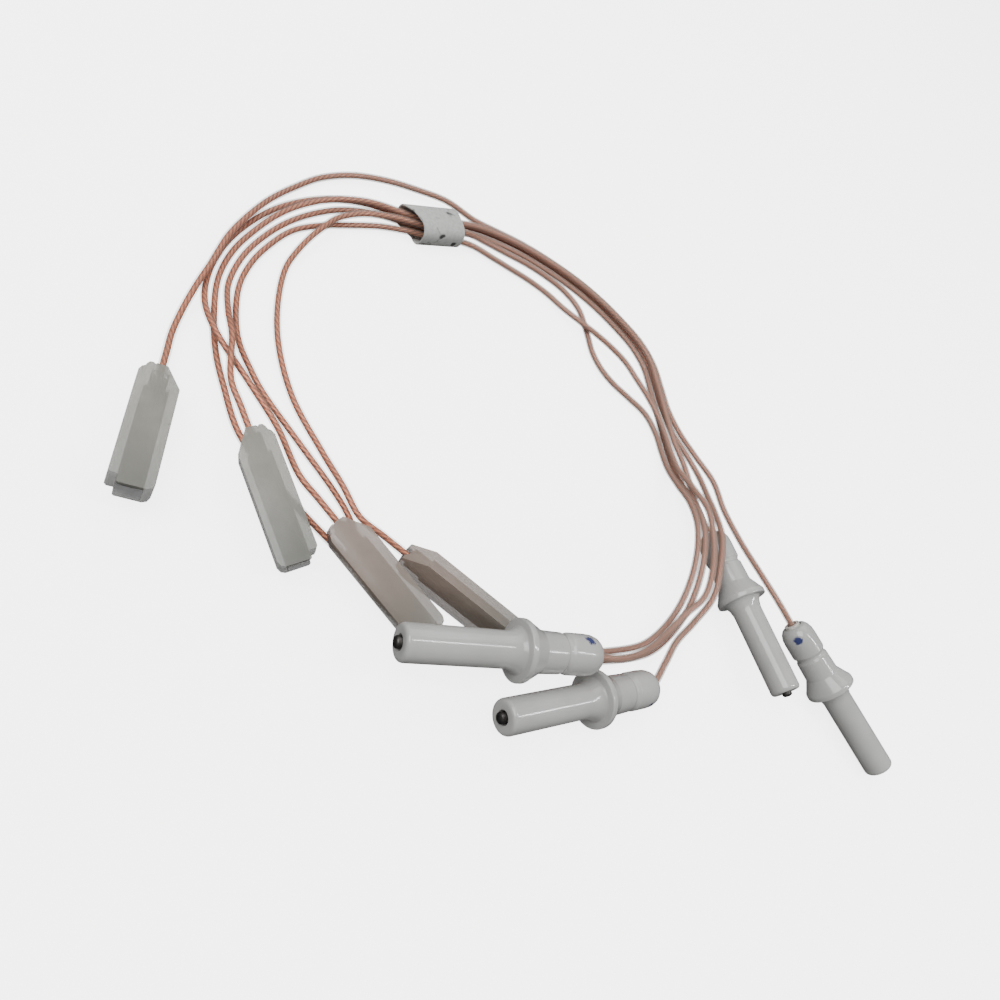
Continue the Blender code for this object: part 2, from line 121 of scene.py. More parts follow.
print("layout of", len(ELECTRODES), "electrodes and", len(TERMINALS), "terminals")

# %% [markdown]
# The camera stands in front of the set and looks down at about 49 degrees, turned so that the
# ceramics lie to the right of the ring. It has no depth of field, so every piece is sharp.

# %% The camera
CAMERA_PLACE = (13.47621, -124.06594, 133.7)
CAMERA_RIGHT = Vector((0.6322465, 0.58247533, 0.51086872))
CAMERA_UP = Vector((-0.7747673, 0.47532723, 0.41689287))
CAMERA_LENS = 28.8
SENSOR_WIDTH = 36.0
NEAREST = 0.005

camera_data = bpy.data.cameras.new("camera")
camera_data.lens = CAMERA_LENS
camera_data.sensor_width = SENSOR_WIDTH
camera_data.clip_start = NEAREST
camera = bpy.data.objects.new("camera", camera_data)
bpy.context.scene.collection.objects.link(camera)
turn = Matrix((CAMERA_RIGHT, CAMERA_UP, CAMERA_RIGHT.cross(CAMERA_UP))).transposed().to_4x4()
camera.matrix_world = Matrix.Translation(placed(CAMERA_PLACE)) @ turn
bpy.context.scene.camera = camera
print("camera at", [round(c, 4) for c in camera.location])

# %% [markdown]
# ## The leads
# Each lead is a bundle of fine copper strands in a clear, slightly milky jacket, 1.8 mm across.
# It leaves its ceramic straight, drops onto the surface and then lies in the ring. A physics run
# could drop it there, but it wouldn't give the same crossings. So the route is a list of given
# points, and a smooth curve through them gives the line.

# %% Route helpers
LEAD_DIAMETER = 0.0018
PATH_STEP = 0.0012


def ring(angle, radius, height):
    """A point round the ring's centre."""
    turn = math.radians(angle)
    x = RING_CENTRE[0] + radius * math.cos(turn)
    return (x, RING_CENTRE[1] + radius * math.sin(turn), height)


def along_ring(stations):
    """Points along the ring through (angle, offset outwards from its middle line, height)."""
    angles, offsets, heights = zip(*stations)
    count = max(2, round((angles[-1] - angles[0]) / RING_STEP) + 1)
    line_angles, line_radii, line_lifts = zip(*RING_LINE)
    points = []
    for angle in np.linspace(angles[0], angles[-1], count):
        radius = np.interp(angle, line_angles, line_radii) + np.interp(angle, angles, offsets)
        lift = np.interp(angle, line_angles, line_lifts)
        points.append(ring(angle, radius, np.interp(angle, angles, heights) + lift))
    return points


def smooth_curve(points, per_span=12):
    """Centripetal Catmull-Rom curve through the points, with many points in each span."""
    first = 2 * points[0] - points[1]
    last = 2 * points[-1] - points[-2]
    padded = np.vstack([first, points, last])
    curve = []
    for a, b, c, d in zip(padded, padded[1:], padded[2:], padded[3:]):
        t1 = np.linalg.norm(b - a) ** 0.5
        t2 = t1 + np.linalg.norm(c - b) ** 0.5
        t3 = t2 + np.linalg.norm(d - c) ** 0.5
        for t in np.linspace(t1, t2, per_span, endpoint=False):
            ab = a + (b - a) * t / t1
            bc = b + (c - b) * (t - t1) / (t2 - t1)
            cd = c + (d - c) * (t - t2) / (t3 - t2)
            abc = ab + (bc - ab) * t / t2
            bcd = bc + (cd - bc) * (t - t1) / (t3 - t1)
            curve.append(abc + (bcd - abc) * (t - t1) / (t2 - t1))
    curve.append(points[-1])
    return np.array(curve)


print("a ring of", len(RING_LINE), "stations")

# %% [markdown]
# A lead that was laid by hand has no formula, so its route is a list of given points. Most of them
# are an angle round the ring, an offset from its middle line and a height, which is easier to place
# and to read than X and Y. Where two leads cross, the upper one is lifted over the lower one.

# %% The routes of the leads
ROUTES = [
    [(51.7, -21.8, 13.1), (54.3, -17.9, 11.9), (56.9, -12.0, 9.5), (59.2, -4.7, 7.0)]
    + along_ring([(353, -2.7, 4.9), (359, -2.3, 3.6), (364, -0.2, 3.6), (369, 1.6, 2.3),
                  (379, 1.3, 1.8), (385, 0.4, 3.0), (392, -1.0, 3.6), (400, -2.1, 3.4),
                  (416, -2.1, 3.3), (427, -4.1, 3.3), (442, -10.6, 3.3), (450, -11.4, 3.3),
                  (458, -12.6, 3.3), (465, -12.5, 2.6), (472, -10.8, 1.4), (478, -9.2, 1.2),
                  (495, -7.8, 1.2), (504, -5.2, 1.2), (509, -3.8, 1.2), (517, -3.3, 1.2),
                  (525, -3.4, 1.2), (531, -4.8, 1.2), (535, -5.7, 1.2), (542, -5.6, 1.2),
                  (549, -3.9, 1.2), (554, -3.15, 1.2), (574, -3.15, 1.2)])
    + [(-46.9, -32.8, 1.2), (-42.8, -35.1, 1.2), (-37.7, -36.7, 1.2), (-32.5, -37.9, 1.2),
       (-19.1, -38.9, 1.2), (-8.5, -39.6, 1.2), (-2.7, -40.6, 1.2),
       (4.0, -43.2, 1.2), (12.0, -44.0, 1.2), (22.0, -42.6, 1.2), (30.6, -39.8, 1.2),
       (38.2, -34.0, 1.2), (40.9, -29.9, 1.2), (46.2, -22.3, 1.2), (51.9, -14.2, 1.2)]
    + along_ring([(348, -3.2, 1.2), (416, -3.3, 1.2), (420, -3.5, 1.2), (427, -7.1, 1.2),
                  (435, -14.0, 1.2), (443, -18.7, 1.2), (452, -16.4, 1.2), (458, -12.6, 1.2),
                  (465, -6.8, 1.2), (472, -4.2, 1.2), (480, -3.3, 1.2), (497, -3.2, 1.3),
                  (506, -2.6, 2.7), (512, -2.4, 3.3), (525, -2.3, 3.3), (531, -3.2, 3.3),
                  (535, -3.7, 3.3)])
    + [(-60.0, 10.5, 3.4), (-60.3, 5.7, 3.4), (-59.5, 1.5, 3.4), (-58.5, -3.1, 3.0),
       (-57.0, -8.1, 2.0), (-54.2, -13.9, 1.2), (-42.7, -25.6, 1.2),
       (-29.3, -33.0, 1.2), (-15.7, -36.7, 2.2), (-7.6, -39.0, 3.8)],
    [(64.6, -2.6, 4.0), (63.9, 4.1, 3.8)]
    + along_ring([(362, 1.9, 1.2), (369, 4.0, 1.4), (379, 4.2, 1.5), (384, 4.8, 1.6),
                  (391, 5.9, 1.2), (398, 7.6, 1.2), (406, 8.2, 1.2), (414, 4.6, 1.2),
                  (422, 1.5, 1.2), (440, 1.1, 1.2), (505, 1.15, 1.2), (512, 1.3, 1.2),
                  (528, 1.3, 1.2), (535, 1.9, 1.2),
                  (545, 2.7, 1.2), (555, 3.1, 1.2), (574, 3.1, 1.2)])
    + [(-53.0, -36.0, 2.4), (-46.0, -38.9, 3.4), (-34.5, -40.3, 3.4), (-24.0, -41.9, 3.6)],
    [(47.4, 41.4, 3.2)]
    + along_ring([(406, 1.8, 3.0), (414, 0.2, 3.3), (517, 0.0, 3.3), (540, 0.4, 3.3),
                  (550, 1.0, 2.6), (560, 1.1, 1.3), (574, 1.1, 1.2)])
    + [(-50.3, -35.6, 1.2), (-43.2, -40.6, 1.2), (-36.4, -44.0, 1.2), (-27.0, -47.8, 1.2),
       (-15.0, -48.4, 1.2), (-4.8, -47.7, 1.2), (4.8, -46.8, 1.2), (14.5, -47.0, 1.2),
       (24.4, -45.2, 1.3), (31.4, -40.9, 3.0), (38.5, -34.2, 3.4), (41.2, -30.1, 3.4),
       (47.3, -22.6, 3.2), (53.8, -14.9, 1.8)]
    + along_ring([(348, -1.0, 1.2), (574, -1.05, 1.2)])
    + [(-49.6, -33.3, 3.2), (-43.6, -37.8, 5.5)],
    [(77.2, 36.6, 8.0), (70.0, 40.3, 6.4), (62.5, 45.4, 3.8), (53.5, 51.0, 2.0)]
    + along_ring([(404, 13.2, 1.2), (416, 6.6, 1.2), (424, 3.9, 1.2), (479, 3.3, 1.2),
                  (501, 3.4, 1.2), (507, 7.0, 1.2), (513, 11.4, 1.2), (522, 12.9, 1.2),
                  (532, 10.4, 1.2), (544, 6.9, 1.2), (551, 5.2, 2.0), (557, 4.0, 3.1),
                  (563, 3.3, 3.3), (573, 3.3, 3.3)])
    + [(-56.7, -35.4, 3.3), (-53.9, -40.2, 2.3)],
]


def lead_path(number):
    """The lead's line in metres, from inside its ceramic to inside its sleeve."""
    nose, axis = electrode_frame(number)
    rear, mouthwards = terminal_frame(TERMINAL_OF_LEAD[number])
    start = [nose + axis * station for station in (LEAD_START, LEAD_INSIDE, CERAMIC_LENGTH)]
    end = [rear + mouthwards * station for station in (-STRAIGHT, -STRAIGHT / 2, 0.0, LEAD_END)]
    points = np.array([*start, *ROUTES[number], *end], dtype=float)
    return (smooth_curve(points) - np.array(LAYOUT_ORIGIN)) * MM


def even_points(path, step):
    """The same line with points at an even distance."""
    lengths = np.linalg.norm(np.diff(path, axis=0), axis=1)
    reached = np.concatenate([[0.0], np.cumsum(lengths)])
    wanted = np.linspace(0.0, reached[-1], round(reached[-1] / step) + 1)
    return np.stack([np.interp(wanted, reached, path[:, i]) for i in range(3)], axis=1)


paths = [even_points(lead_path(number), PATH_STEP) for number in range(4)]
print("lead lengths in mm:", [round(PATH_STEP / MM * (len(path) - 1), 1) for path in paths])

# %% [markdown]
# A tube that follows a line needs its rings to turn with the line but not to spin about it, so
# each ring carries the one before it along. The tube gets its own UV map: U once round and V in
# metres along, so that a pattern follows the lead wherever it goes.

# %% Tubes along a line
def tube_mesh(name, path, radius, sides):
    """A closed tube along a path with a UV map that runs round and along it."""
    ways = np.gradient(path, axis=0)
    ways /= np.linalg.norm(ways, axis=1)[:, None]
    side = Vector(ways[0]).orthogonal().normalized()
    work = bmesh.new()
    rings = []
    for place, way in zip(path, ways):
        way = Vector(way)
        side = (side - way * side.dot(way)).normalized()
        other = way.cross(side)
        angles = [2 * math.pi * i / sides for i in range(sides)]
        spokes = [side * math.cos(a) + other * math.sin(a) for a in angles]
        rings.append([work.verts.new(Vector(place) + spoke * radius) for spoke in spokes])
    layer = work.loops.layers.uv.new("along")
    step = float(np.linalg.norm(path[1] - path[0]))
    for row, (here, there) in enumerate(zip(rings, rings[1:])):
        for i in range(sides):
            after = (i + 1) % sides
            face = work.faces.new((here[i], here[after], there[after], there[i]))
            face.smooth = True
            corners = ((i, row), (i + 1, row), (i + 1, row + 1), (i, row + 1))
            for loop, (u, v) in zip(face.loops, corners):
                loop[layer].uv = (u / sides, v * step)
    work.faces.new(rings[0][::-1])
    work.faces.new(rings[-1])
    mesh = bpy.data.meshes.new(name)
    work.to_mesh(mesh)
    work.free()
    return mesh


def new_piece(name, mesh, body):
    """Links a finished mesh as a piece on a body."""
    piece = bpy.data.objects.new(name, mesh)
    bpy.context.scene.collection.objects.link(piece)
    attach(piece, body)
    return piece


print("tubes follow their line in steps of", PATH_STEP / MM, "mm")

# %% [markdown]
# The jacket and the strands are two tubes along the same line, one inside the other. The strands
# could be painted on the jacket, but as a tube of their own they show through it from every side.
# They stop just short of the jacket's ends, so that no two faces lie in one plane.

# %% The jackets and the strands inside them
STRANDS_RADIUS = 0.00060
JACKET_SIDES = 16
STRANDS_SIDES = 12
jackets = []
cores = []
for number, path in enumerate(paths):
    jacket_mesh = tube_mesh(f"lead_jacket_{number + 1}", path, LEAD_DIAMETER / 2, JACKET_SIDES)
    jackets.append(new_piece(f"lead_jacket_{number + 1}", jacket_mesh, "set"))
    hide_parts(f"lead_{number + 1}")
    core_mesh = tube_mesh(
        f"lead_strands_{number + 1}", path[1:-1], STRANDS_RADIUS, STRANDS_SIDES
    )
    cores.append(new_piece(f"lead_strands_{number + 1}", core_mesh, "set"))
print("jackets of", sum(len(j.data.polygons) for j in jackets), "faces")

# %% [markdown]
# ## The ceramics
# An electrode ceramic is pressed and fired as one turned body: a plain stem, a collar that seats
# on the burner, a groove for its clip and a round tail. A spin of its outline would do. A circle
# extruded and scaled station by station gives the same shell with even faces, and each station
# stays a number that can be read: out along the outside and back down the bore.
#
# A few helpers come first. Glaze and moulds never leave a sharp edge, so a small bevel rounds the
# real edges and is then applied.

# %% Edit-mode helpers
SMOOTH_BELOW = 40.0
SAME_PLACE = 0.000005


def select_only(piece):
    """Makes a piece the only selected and the active one."""
    bpy.ops.object.select_all(action="DESELECT")
    piece.select_set(True)
    bpy.context.view_layer.objects.active = piece


def finish_edges(piece, width, segments, angle):
    """Rounds a piece's real edges with a bevel that is applied, and shades it."""
    select_only(piece)
    bevel = piece.modifiers.new("soft edges", "BEVEL")
    bevel.width = width
    bevel.segments = segments
    bevel.limit_method = "ANGLE"
    bevel.angle_limit = math.radians(angle)
    bpy.ops.object.modifier_apply(modifier=bevel.name)
    bpy.ops.object.shade_smooth_by_angle(angle=math.radians(SMOOTH_BELOW))


def turned_shell(name, stations, sides, closed):
    """A shell turned about Z through (radius, station) in millimetres."""
    radius, station = stations[0]
    bpy.ops.object.select_all(action="DESELECT")
    bpy.ops.mesh.primitive_circle_add(
        vertices=sides, radius=radius * MM, location=(0.0, 0.0, station * MM)
    )
    piece = bpy.context.object
    piece.name = name
    piece.data.name = name
    bpy.ops.object.transform_apply(location=True)
    bpy.ops.object.mode_set(mode="EDIT")
    if not closed:
        bpy.ops.mesh.edge_face_add()
    for after_radius, after_station in stations[1:]:
        bpy.ops.mesh.extrude_region_move(
            TRANSFORM_OT_translate={"value": (0.0, 0.0, (after_station - station) * MM)}
        )
        grow = after_radius / radius
        centre = (0.0, 0.0, after_station * MM)
        bpy.ops.transform.resize(value=(grow, grow, 1.0), center_override=centre)
        radius, station = after_radius, after_station
    bpy.ops.mesh.select_all(action="SELECT")
    bpy.ops.mesh.remove_doubles(threshold=SAME_PLACE)
    bpy.ops.mesh.normals_make_consistent(inside=False)
    bpy.ops.object.mode_set(mode="OBJECT")
    return piece


def along_electrode(pattern, name, number):
    """A copy of a turned pattern, put on an electrode's axis, on the set."""
    nose, axis = electrode_frame(number)
    side = axis.cross(Vector((0, 0, 1))).normalized()
    turn = Matrix((side, axis.cross(side), axis)).transposed().to_4x4()
    mesh = pattern.data.copy()
    mesh.transform(Matrix.Translation(placed(nose)) @ turn)
    mesh.name = name
    return new_piece(name, mesh, "set")


print("edges under", SMOOTH_BELOW, "degrees are shaded smooth")

# %% [markdown]
# The four ceramics are one pattern, so it is turned once and copied, each copy with a mesh of its
# own. The stations run from the tail's mouth along the outside to the nose, and back through the
# two steps of the bore.

# %% Turn one ceramic and copy it
CERAMIC_SIDES = 64
GLAZE_EDGE = 0.00022
CERAMIC_STATIONS = [
    (2.2, 42.0), (3.0, 41.55), (3.6, 40.7), (3.95, 39.6), (4.05, 38.2), (4.05, 34.4),
    (3.6, 33.8), (3.6, 33.2), (3.95, 32.8), (4.1, 28.0), (5.6, 25.2), (6.0, 24.6),
    (6.0, 23.4), (4.5, 23.4), (3.85, 22.2), (3.5, 20.6), (3.5, 0.7), (3.3, 0.25),
    (2.9, 0.0), (1.4, 0.0), (1.4, 19.0), (2.2, 19.0), (2.2, 42.0),
]
ceramic_pattern = turned_shell("ceramic_pattern", CERAMIC_STATIONS, CERAMIC_SIDES, True)
finish_edges(ceramic_pattern, GLAZE_EDGE, 3, 22)
ceramics = []
for number in range(4):
    ceramic = along_electrode(ceramic_pattern, f"ceramic_{number + 1}", number)
    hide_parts(f"ceramic_body_{number + 1}")
    ceramics.append(ceramic)
bpy.data.objects.remove(ceramic_pattern)
print("ceramics of", len(ceramics[0].data.polygons), "faces each")

# %% [markdown]
# The spark pin is a steel rod that ends just proud of the nose, with its end lightly domed. It
# could be a cylinder with a bevel, but turned from stations, as the ceramic is, its dome lies
# exactly where it should.

# %% Turn one pin and copy it
PIN_SIDES = 48
PIN_STATIONS = [
    (1.15, 25.5), (1.15, -0.5), (1.05, -0.72), (0.85, -0.85), (0.45, -0.97), (0.05, -1.0),
]
pin_pattern = turned_shell("pin_pattern", PIN_STATIONS, PIN_SIDES, False)
select_only(pin_pattern)
bpy.ops.object.shade_smooth_by_angle(angle=math.radians(SMOOTH_BELOW))
pins = []
for number in range(4):
    pin = along_electrode(pin_pattern, f"spark_pin_{number + 1}", number)
    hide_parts(f"electrode_pin_{number + 1}")
    pins.append(pin)
bpy.data.objects.remove(pin_pattern)
print("pins of", len(pins[0].data.polygons), "faces each")

# %% [markdown]
# ## The terminals
# The sleeve is a moulded plastic box, open at the mouth, and the receptacle inside it is folded
# from one strip of tinned metal. Both could be modelled again, but their shapes are already right
# in the engineering model. So each is a merged copy of it, with its edges softened as moulding and
# folding leave them. A sleeve also gets a UV map, so that its finish can change along it and
# carry painted shade in its pocket.

# %% Refined copies
SLEEVE_EDGE = 0.00018
RECEPTACLE_EDGE = 0.00003


def refined_copy(node, name, body, width):
    """A merged copy of an engineering node with soft edges, which stands for the node."""
    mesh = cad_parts[node].data.copy()
    mesh.materials.clear()
    piece = bpy.data.objects.new(name, mesh)
    bpy.context.scene.collection.objects.link(piece)
    select_only(piece)
    bpy.ops.object.mode_set(mode="EDIT")
    bpy.ops.mesh.select_all(action="SELECT")
    bpy.ops.mesh.remove_doubles(threshold=0.000002)
    bpy.ops.mesh.dissolve_limited(angle_limit=math.radians(2))
    bpy.ops.object.mode_set(mode="OBJECT")
    finish_edges(piece, width, 2, 25)
    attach(piece, body)
    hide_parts(node)
    return piece


def map_sleeve(piece, number):
    """A UV map with U from 0 at the lead end to 1 at the mouth, and V 1 on the pocket's walls."""
    rear, way = terminal_frame(number)
    rear = placed(rear)
    layer = piece.data.uv_layers.new(name="station")
    for face in piece.data.polygons:
        from_rear = face.center - rear
        outward = from_rear - way * from_rear.dot(way)
        inside = face.normal.dot(outward) < -0.2 * outward.length
        for loop in face.loop_indices:
            corner = piece.data.vertices[piece.data.loops[loop].vertex_index].co
            along = (corner - rear).dot(way) / (SLEEVE_LENGTH * MM)
            layer.data[loop].uv = (along, float(inside))


sleeves = []
receptacles = []
for tag in TAGS:
    sleeve = refined_copy(
        f"terminal_sleeve_{tag}", f"sleeve_cover_{tag}", f"sleeve_{tag}",
        SLEEVE_EDGE,
    )
    map_sleeve(sleeve, TERMINAL_OF_LEAD[tag - 1])
    sleeves.append(sleeve)
    clip = refined_copy(
        f"receptacle_{tag}", f"push_on_{tag}", "set", RECEPTACLE_EDGE
    )
    receptacles.append(clip)
print("sleeves of", len(sleeves[0].data.polygons), "faces each")

# %% [markdown]
# ## The label
# A slip of paper wraps the ring loosely and its two ends stick together. It was cut askew, so one
# end of the band reaches further on the outer side of the ring. Cloth simulation could make it,
# but paper this stiff keeps the plain oval of the engineering model. So the band is a merged copy
# of that, and the points of one end are moved along the ring.

# %% The paper band
LABEL_ANGLE = 157.1
LABEL_RADIUS = 54.0
LABEL_HALF_LENGTH = 6.0
OBLIQUE_CUT = 3.2
CUT_WIDTH = 4.0
CUT_AT_MIDDLE = 0.15
PAPER_EDGE = 0.00006
label = refined_copy("label_wrap", "paper_label", "set", PAPER_EDGE)
label_way = rise_and_heading(LABEL_ANGLE + 90.0, 0.0)
label_out = rise_and_heading(LABEL_ANGLE, 0.0)
label_middle = placed(ring(LABEL_ANGLE, LABEL_RADIUS, 0.0))
for vertex in label.data.vertices:
    from_middle = (vertex.co - label_middle) / MM
    if from_middle.dot(label_way) > LABEL_HALF_LENGTH / 2:
        share = min(max(from_middle.dot(label_out) / CUT_WIDTH + CUT_AT_MIDDLE, 0.0), 1.0)
        vertex.co += label_way * share * OBLIQUE_CUT * MM
print("label of", len(label.data.polygons), "faces")

# %% [markdown]
# For each lead, the nose and axis of its electrode are worked out once more, and nothing is made
# from them.

# %% Each lead's electrode frame, worked out again
for number, jacket in enumerate(jackets):
    nose, axis = electrode_frame(number)

# %% [markdown]
# ## Finishes
# A real surface is never one flat value: glaze runs, metal scuffs and plastic flows. A painted
# picture could show that, but nodes need no file and stay sharp close up. Each finish is a
# material of nodes on the piece's own coordinates. Short helpers make the nodes that come often.

# %% Node helpers
def add_node(tree, kind, **settings):
    """A new node of a kind, with its settings."""
    node = tree.nodes.new(kind)
    for name, value in settings.items():
        setattr(node, name, value)
    return node


def feed(tree, source, socket):
    """Links an output to a socket, or sets a plain value on the socket."""
    if isinstance(source, bpy.types.NodeSocket):
        tree.links.new(source, socket)
    else:
        socket.default_value = source


def worked_out(tree, operation, *sources):
    """The result of a Math node on outputs and plain numbers."""
    node = add_node(tree, "ShaderNodeMath", operation=operation)
    for source, socket in zip(sources, node.inputs):
        feed(tree, source, socket)
    return node.outputs["Value"]


def remap(tree, value, low, high, to_low=0.0, to_high=1.0):
    """A value stretched from one range onto another."""
    node = add_node(tree, "ShaderNodeMapRange")
    sources = {"Value": value, "From Min": low, "From Max": high, "To Min": to_low, "To Max": to_high}
    for name, source in sources.items():
        feed(tree, source, node.inputs[name])
    return node.outputs["Result"]


def mix_colours(tree, factor, first, second):
    """A blend from the first colour to the second as the factor goes from 0 to 1."""
    node = add_node(tree, "ShaderNodeMix", data_type="RGBA")
    feed(tree, factor, node.inputs["Factor"])
    feed(tree, first, node.inputs[6])
    feed(tree, second, node.inputs[7])
    return node.outputs[2]


def distance_from(tree, place, centre):
    """How far each point of a surface is from a centre, in metres."""
    node = add_node(tree, "ShaderNodeVectorMath", operation="DISTANCE")
    feed(tree, place, node.inputs[0])
    feed(tree, centre, node.inputs[1])
    return node.outputs["Value"]


def own_place(tree):
    """The point on the piece, in metres."""
    return add_node(tree, "ShaderNodeTexCoord").outputs["Object"]


def map_parts(tree, uv_map):
    """The two parts, U and V, of one of the piece's own UV maps."""
    parts = add_node(tree, "ShaderNodeSeparateXYZ")
    feed(tree, add_node(tree, "ShaderNodeUVMap", uv_map=uv_map).outputs["UV"], parts.inputs["Vector"])
    return parts.outputs["X"], parts.outputs["Y"]


def principled(name, colour, roughness, metallic=0.0):
    """A new material, its tree and its shader, with plain values for what isn't linked."""
    material = bpy.data.materials.new(name)
    material.use_nodes = True
    shader = material.node_tree.nodes["Principled BSDF"]
    shader.inputs["Base Color"].default_value = (*colour, 1.0)
    shader.inputs["Roughness"].default_value = roughness
    shader.inputs["Metallic"].default_value = metallic
    return material, material.node_tree, shader


def add_bump(tree, shader, height, strength, distance):
    """A bump from a height output onto the shader's normal."""
    bump = add_node(tree, "ShaderNodeBump")
    bump.inputs["Strength"].default_value = strength
    bump.inputs["Distance"].default_value = distance
    feed(tree, height, bump.inputs["Height"])
    feed(tree, bump.outputs["Normal"], shader.inputs["Normal"])


def paint(pieces, material):
    """Gives the pieces one material."""
    for piece in pieces:
        piece.data.materials.clear()
        piece.data.materials.append(material)


print("node helpers ready, materials so far:", len(bpy.data.materials))

# %% [markdown]
# Two effects are shared groups. The mottle drifts a colour and a value by noise, which suits
# glaze, metal, plastic and paper alike. The ink mark is a ragged spot round a place. A group is
# built once, and each use gives it its own values, which is less to keep right than many copies.

# %% Shared groups
FLOAT = "NodeSocketFloat"
VECTOR = "NodeSocketVector"
COLOUR = "NodeSocketColor"
INK_GRAIN = 1400.0
INK_RAGGEDNESS = 0.0016


def new_group(name, inputs, outputs):
    """An empty shader node group with named sockets, and its two end nodes."""
    group = bpy.data.node_groups.new(name, "ShaderNodeTree")
    for socket, kind in inputs:
        group.interface.new_socket(socket, in_out="INPUT", socket_type=kind)
    for socket, kind in outputs:
        group.interface.new_socket(socket, in_out="OUTPUT", socket_type=kind)
    return group, group.nodes.new("NodeGroupInput"), group.nodes.new("NodeGroupOutput")


def use_group(tree, group, vector, **values):
    """A shared group in a material, fed by a vector output, with its own values."""
    node = add_node(tree, "ShaderNodeGroup", node_tree=group)
    feed(tree, vector, node.inputs["Vector"])
    for name, value in values.items():
        node.inputs[name].default_value = value
    return node


mottle, mottle_in, mottle_out = new_group(
    "mottle",
    [("Vector", VECTOR), ("Scale", FLOAT), ("Light", COLOUR), ("Dark", COLOUR), ("Low", FLOAT),
     ("High", FLOAT)],
    [("Color", COLOUR), ("Value", FLOAT)],
)
noise = add_node(mottle, "ShaderNodeTexNoise")
noise.inputs["Detail"].default_value = 5.0
feed(mottle, mottle_in.outputs["Vector"], noise.inputs["Vector"])
feed(mottle, mottle_in.outputs["Scale"], noise.inputs["Scale"])
cloud = noise.outputs["Fac"]
drift = remap(mottle, cloud, 0.3, 0.7, mottle_in.outputs["Low"], mottle_in.outputs["High"])
feed(mottle, drift, mottle_out.inputs["Value"])
share = remap(mottle, cloud, 0.35, 0.65)
tone = mix_colours(mottle, share, mottle_in.outputs["Light"], mottle_in.outputs["Dark"])
feed(mottle, tone, mottle_out.inputs["Color"])

ink, ink_in, ink_out = new_group(
    "ink_mark",
    [("Vector", VECTOR), ("Centre", VECTOR), ("Radius", FLOAT)],
    [("Mask", FLOAT)],
)
apart = distance_from(ink, ink_in.outputs["Vector"], ink_in.outputs["Centre"])
grain = add_node(ink, "ShaderNodeTexNoise")
grain.inputs["Scale"].default_value = INK_GRAIN
feed(ink, ink_in.outputs["Vector"], grain.inputs["Vector"])
edge = worked_out(ink, "MULTIPLY_ADD", grain.outputs["Fac"], INK_RAGGEDNESS, apart)
within = worked_out(ink, "SUBTRACT", ink_in.outputs["Radius"], edge)
feed(ink, remap(ink, within, -0.0004, 0.0001), ink_out.inputs["Mask"])
print("shared groups:", mottle.name, "and", ink.name)

# %% [markdown]
# Glazed ceramic is hard, white and glossy. A coat over a slightly rough body gives its two kinds
# of shine, and a slow mottle stands for the unevenness where the glaze ran. Three of the tails
# carry a small dab of blue ink from inspection. A dab could be a decal, but a spot in the material
# bends round the tail by itself.

# %% Glazed ceramic
TAIL_RADIUS = 4.0
INK_SHADE = (0.02, 0.03, 0.14, 1.0)
INK_SOFTENING = 0.0007

# Ink dabs: electrode, station in mm, how far each faces across and upwards, and its radius in metres
INK_PLACES = (
    (0, 38.2, -0.5, 1.0, 0.0009), (1, 38.6, 1.0, 0.35, 0.0007), (3, 39.4, -1.0, 0.5, 0.0010),
)

glaze, tree, shader = principled("glazed_ceramic", (0.72, 0.72, 0.70), 0.14)
shader.inputs["Coat Weight"].default_value = 0.6
shader.inputs["Coat Roughness"].default_value = 0.05
place = own_place(tree)
body_tone = use_group(
    tree, mottle, place, Scale=90.0, Light=(0.52, 0.52, 0.505, 1), Dark=(0.46, 0.46, 0.445, 1),
    Low=0.10, High=0.2,
)
feed(tree, body_tone.outputs["Value"], shader.inputs["Roughness"])
marked = body_tone.outputs["Color"]
for number, station, across, upward, size in INK_PLACES:
    nose, axis = electrode_frame(number)
    side = axis.cross(Vector((0, 0, 1))).normalized()
    outward = (side * across + side.cross(axis) * upward).normalized() * TAIL_RADIUS
    spot = placed(nose + axis * station + outward)
    mark = use_group(tree, ink, place, Centre=tuple(spot), Radius=size + INK_SOFTENING)
    marked = mix_colours(tree, mark.outputs["Mask"], marked, INK_SHADE)
feed(tree, marked, shader.inputs["Base Color"])
add_bump(tree, shader, body_tone.outputs["Value"], 0.12, 0.0003)
paint(ceramics, glaze)
print("glaze on", len(ceramics), "ceramics")

# %% [markdown]
# Three metals are here. The pin is heat-resisting steel, dark from the furnace, the receptacle and
# the crimp ferrule are tinned, and the bared ends of the strands are copper. A metal's look is
# mostly its roughness, so one function varies that and the colour together.

# %% Pin steel, tinned metal and copper
def worn_metal(name, light, dark, scale, low, high):
    """A metal whose colour and roughness vary a little over its surface."""
    material, tree, shader = principled(name, light[:3], high, 1.0)
    tone = use_group(
        tree, mottle, own_place(tree), Scale=scale, Light=light, Dark=dark, Low=low, High=high
    )
    feed(tree, tone.outputs["Color"], shader.inputs["Base Color"])
    feed(tree, tone.outputs["Value"], shader.inputs["Roughness"])
    add_bump(tree, shader, tone.outputs["Value"], 0.2, 0.0001)
    return material


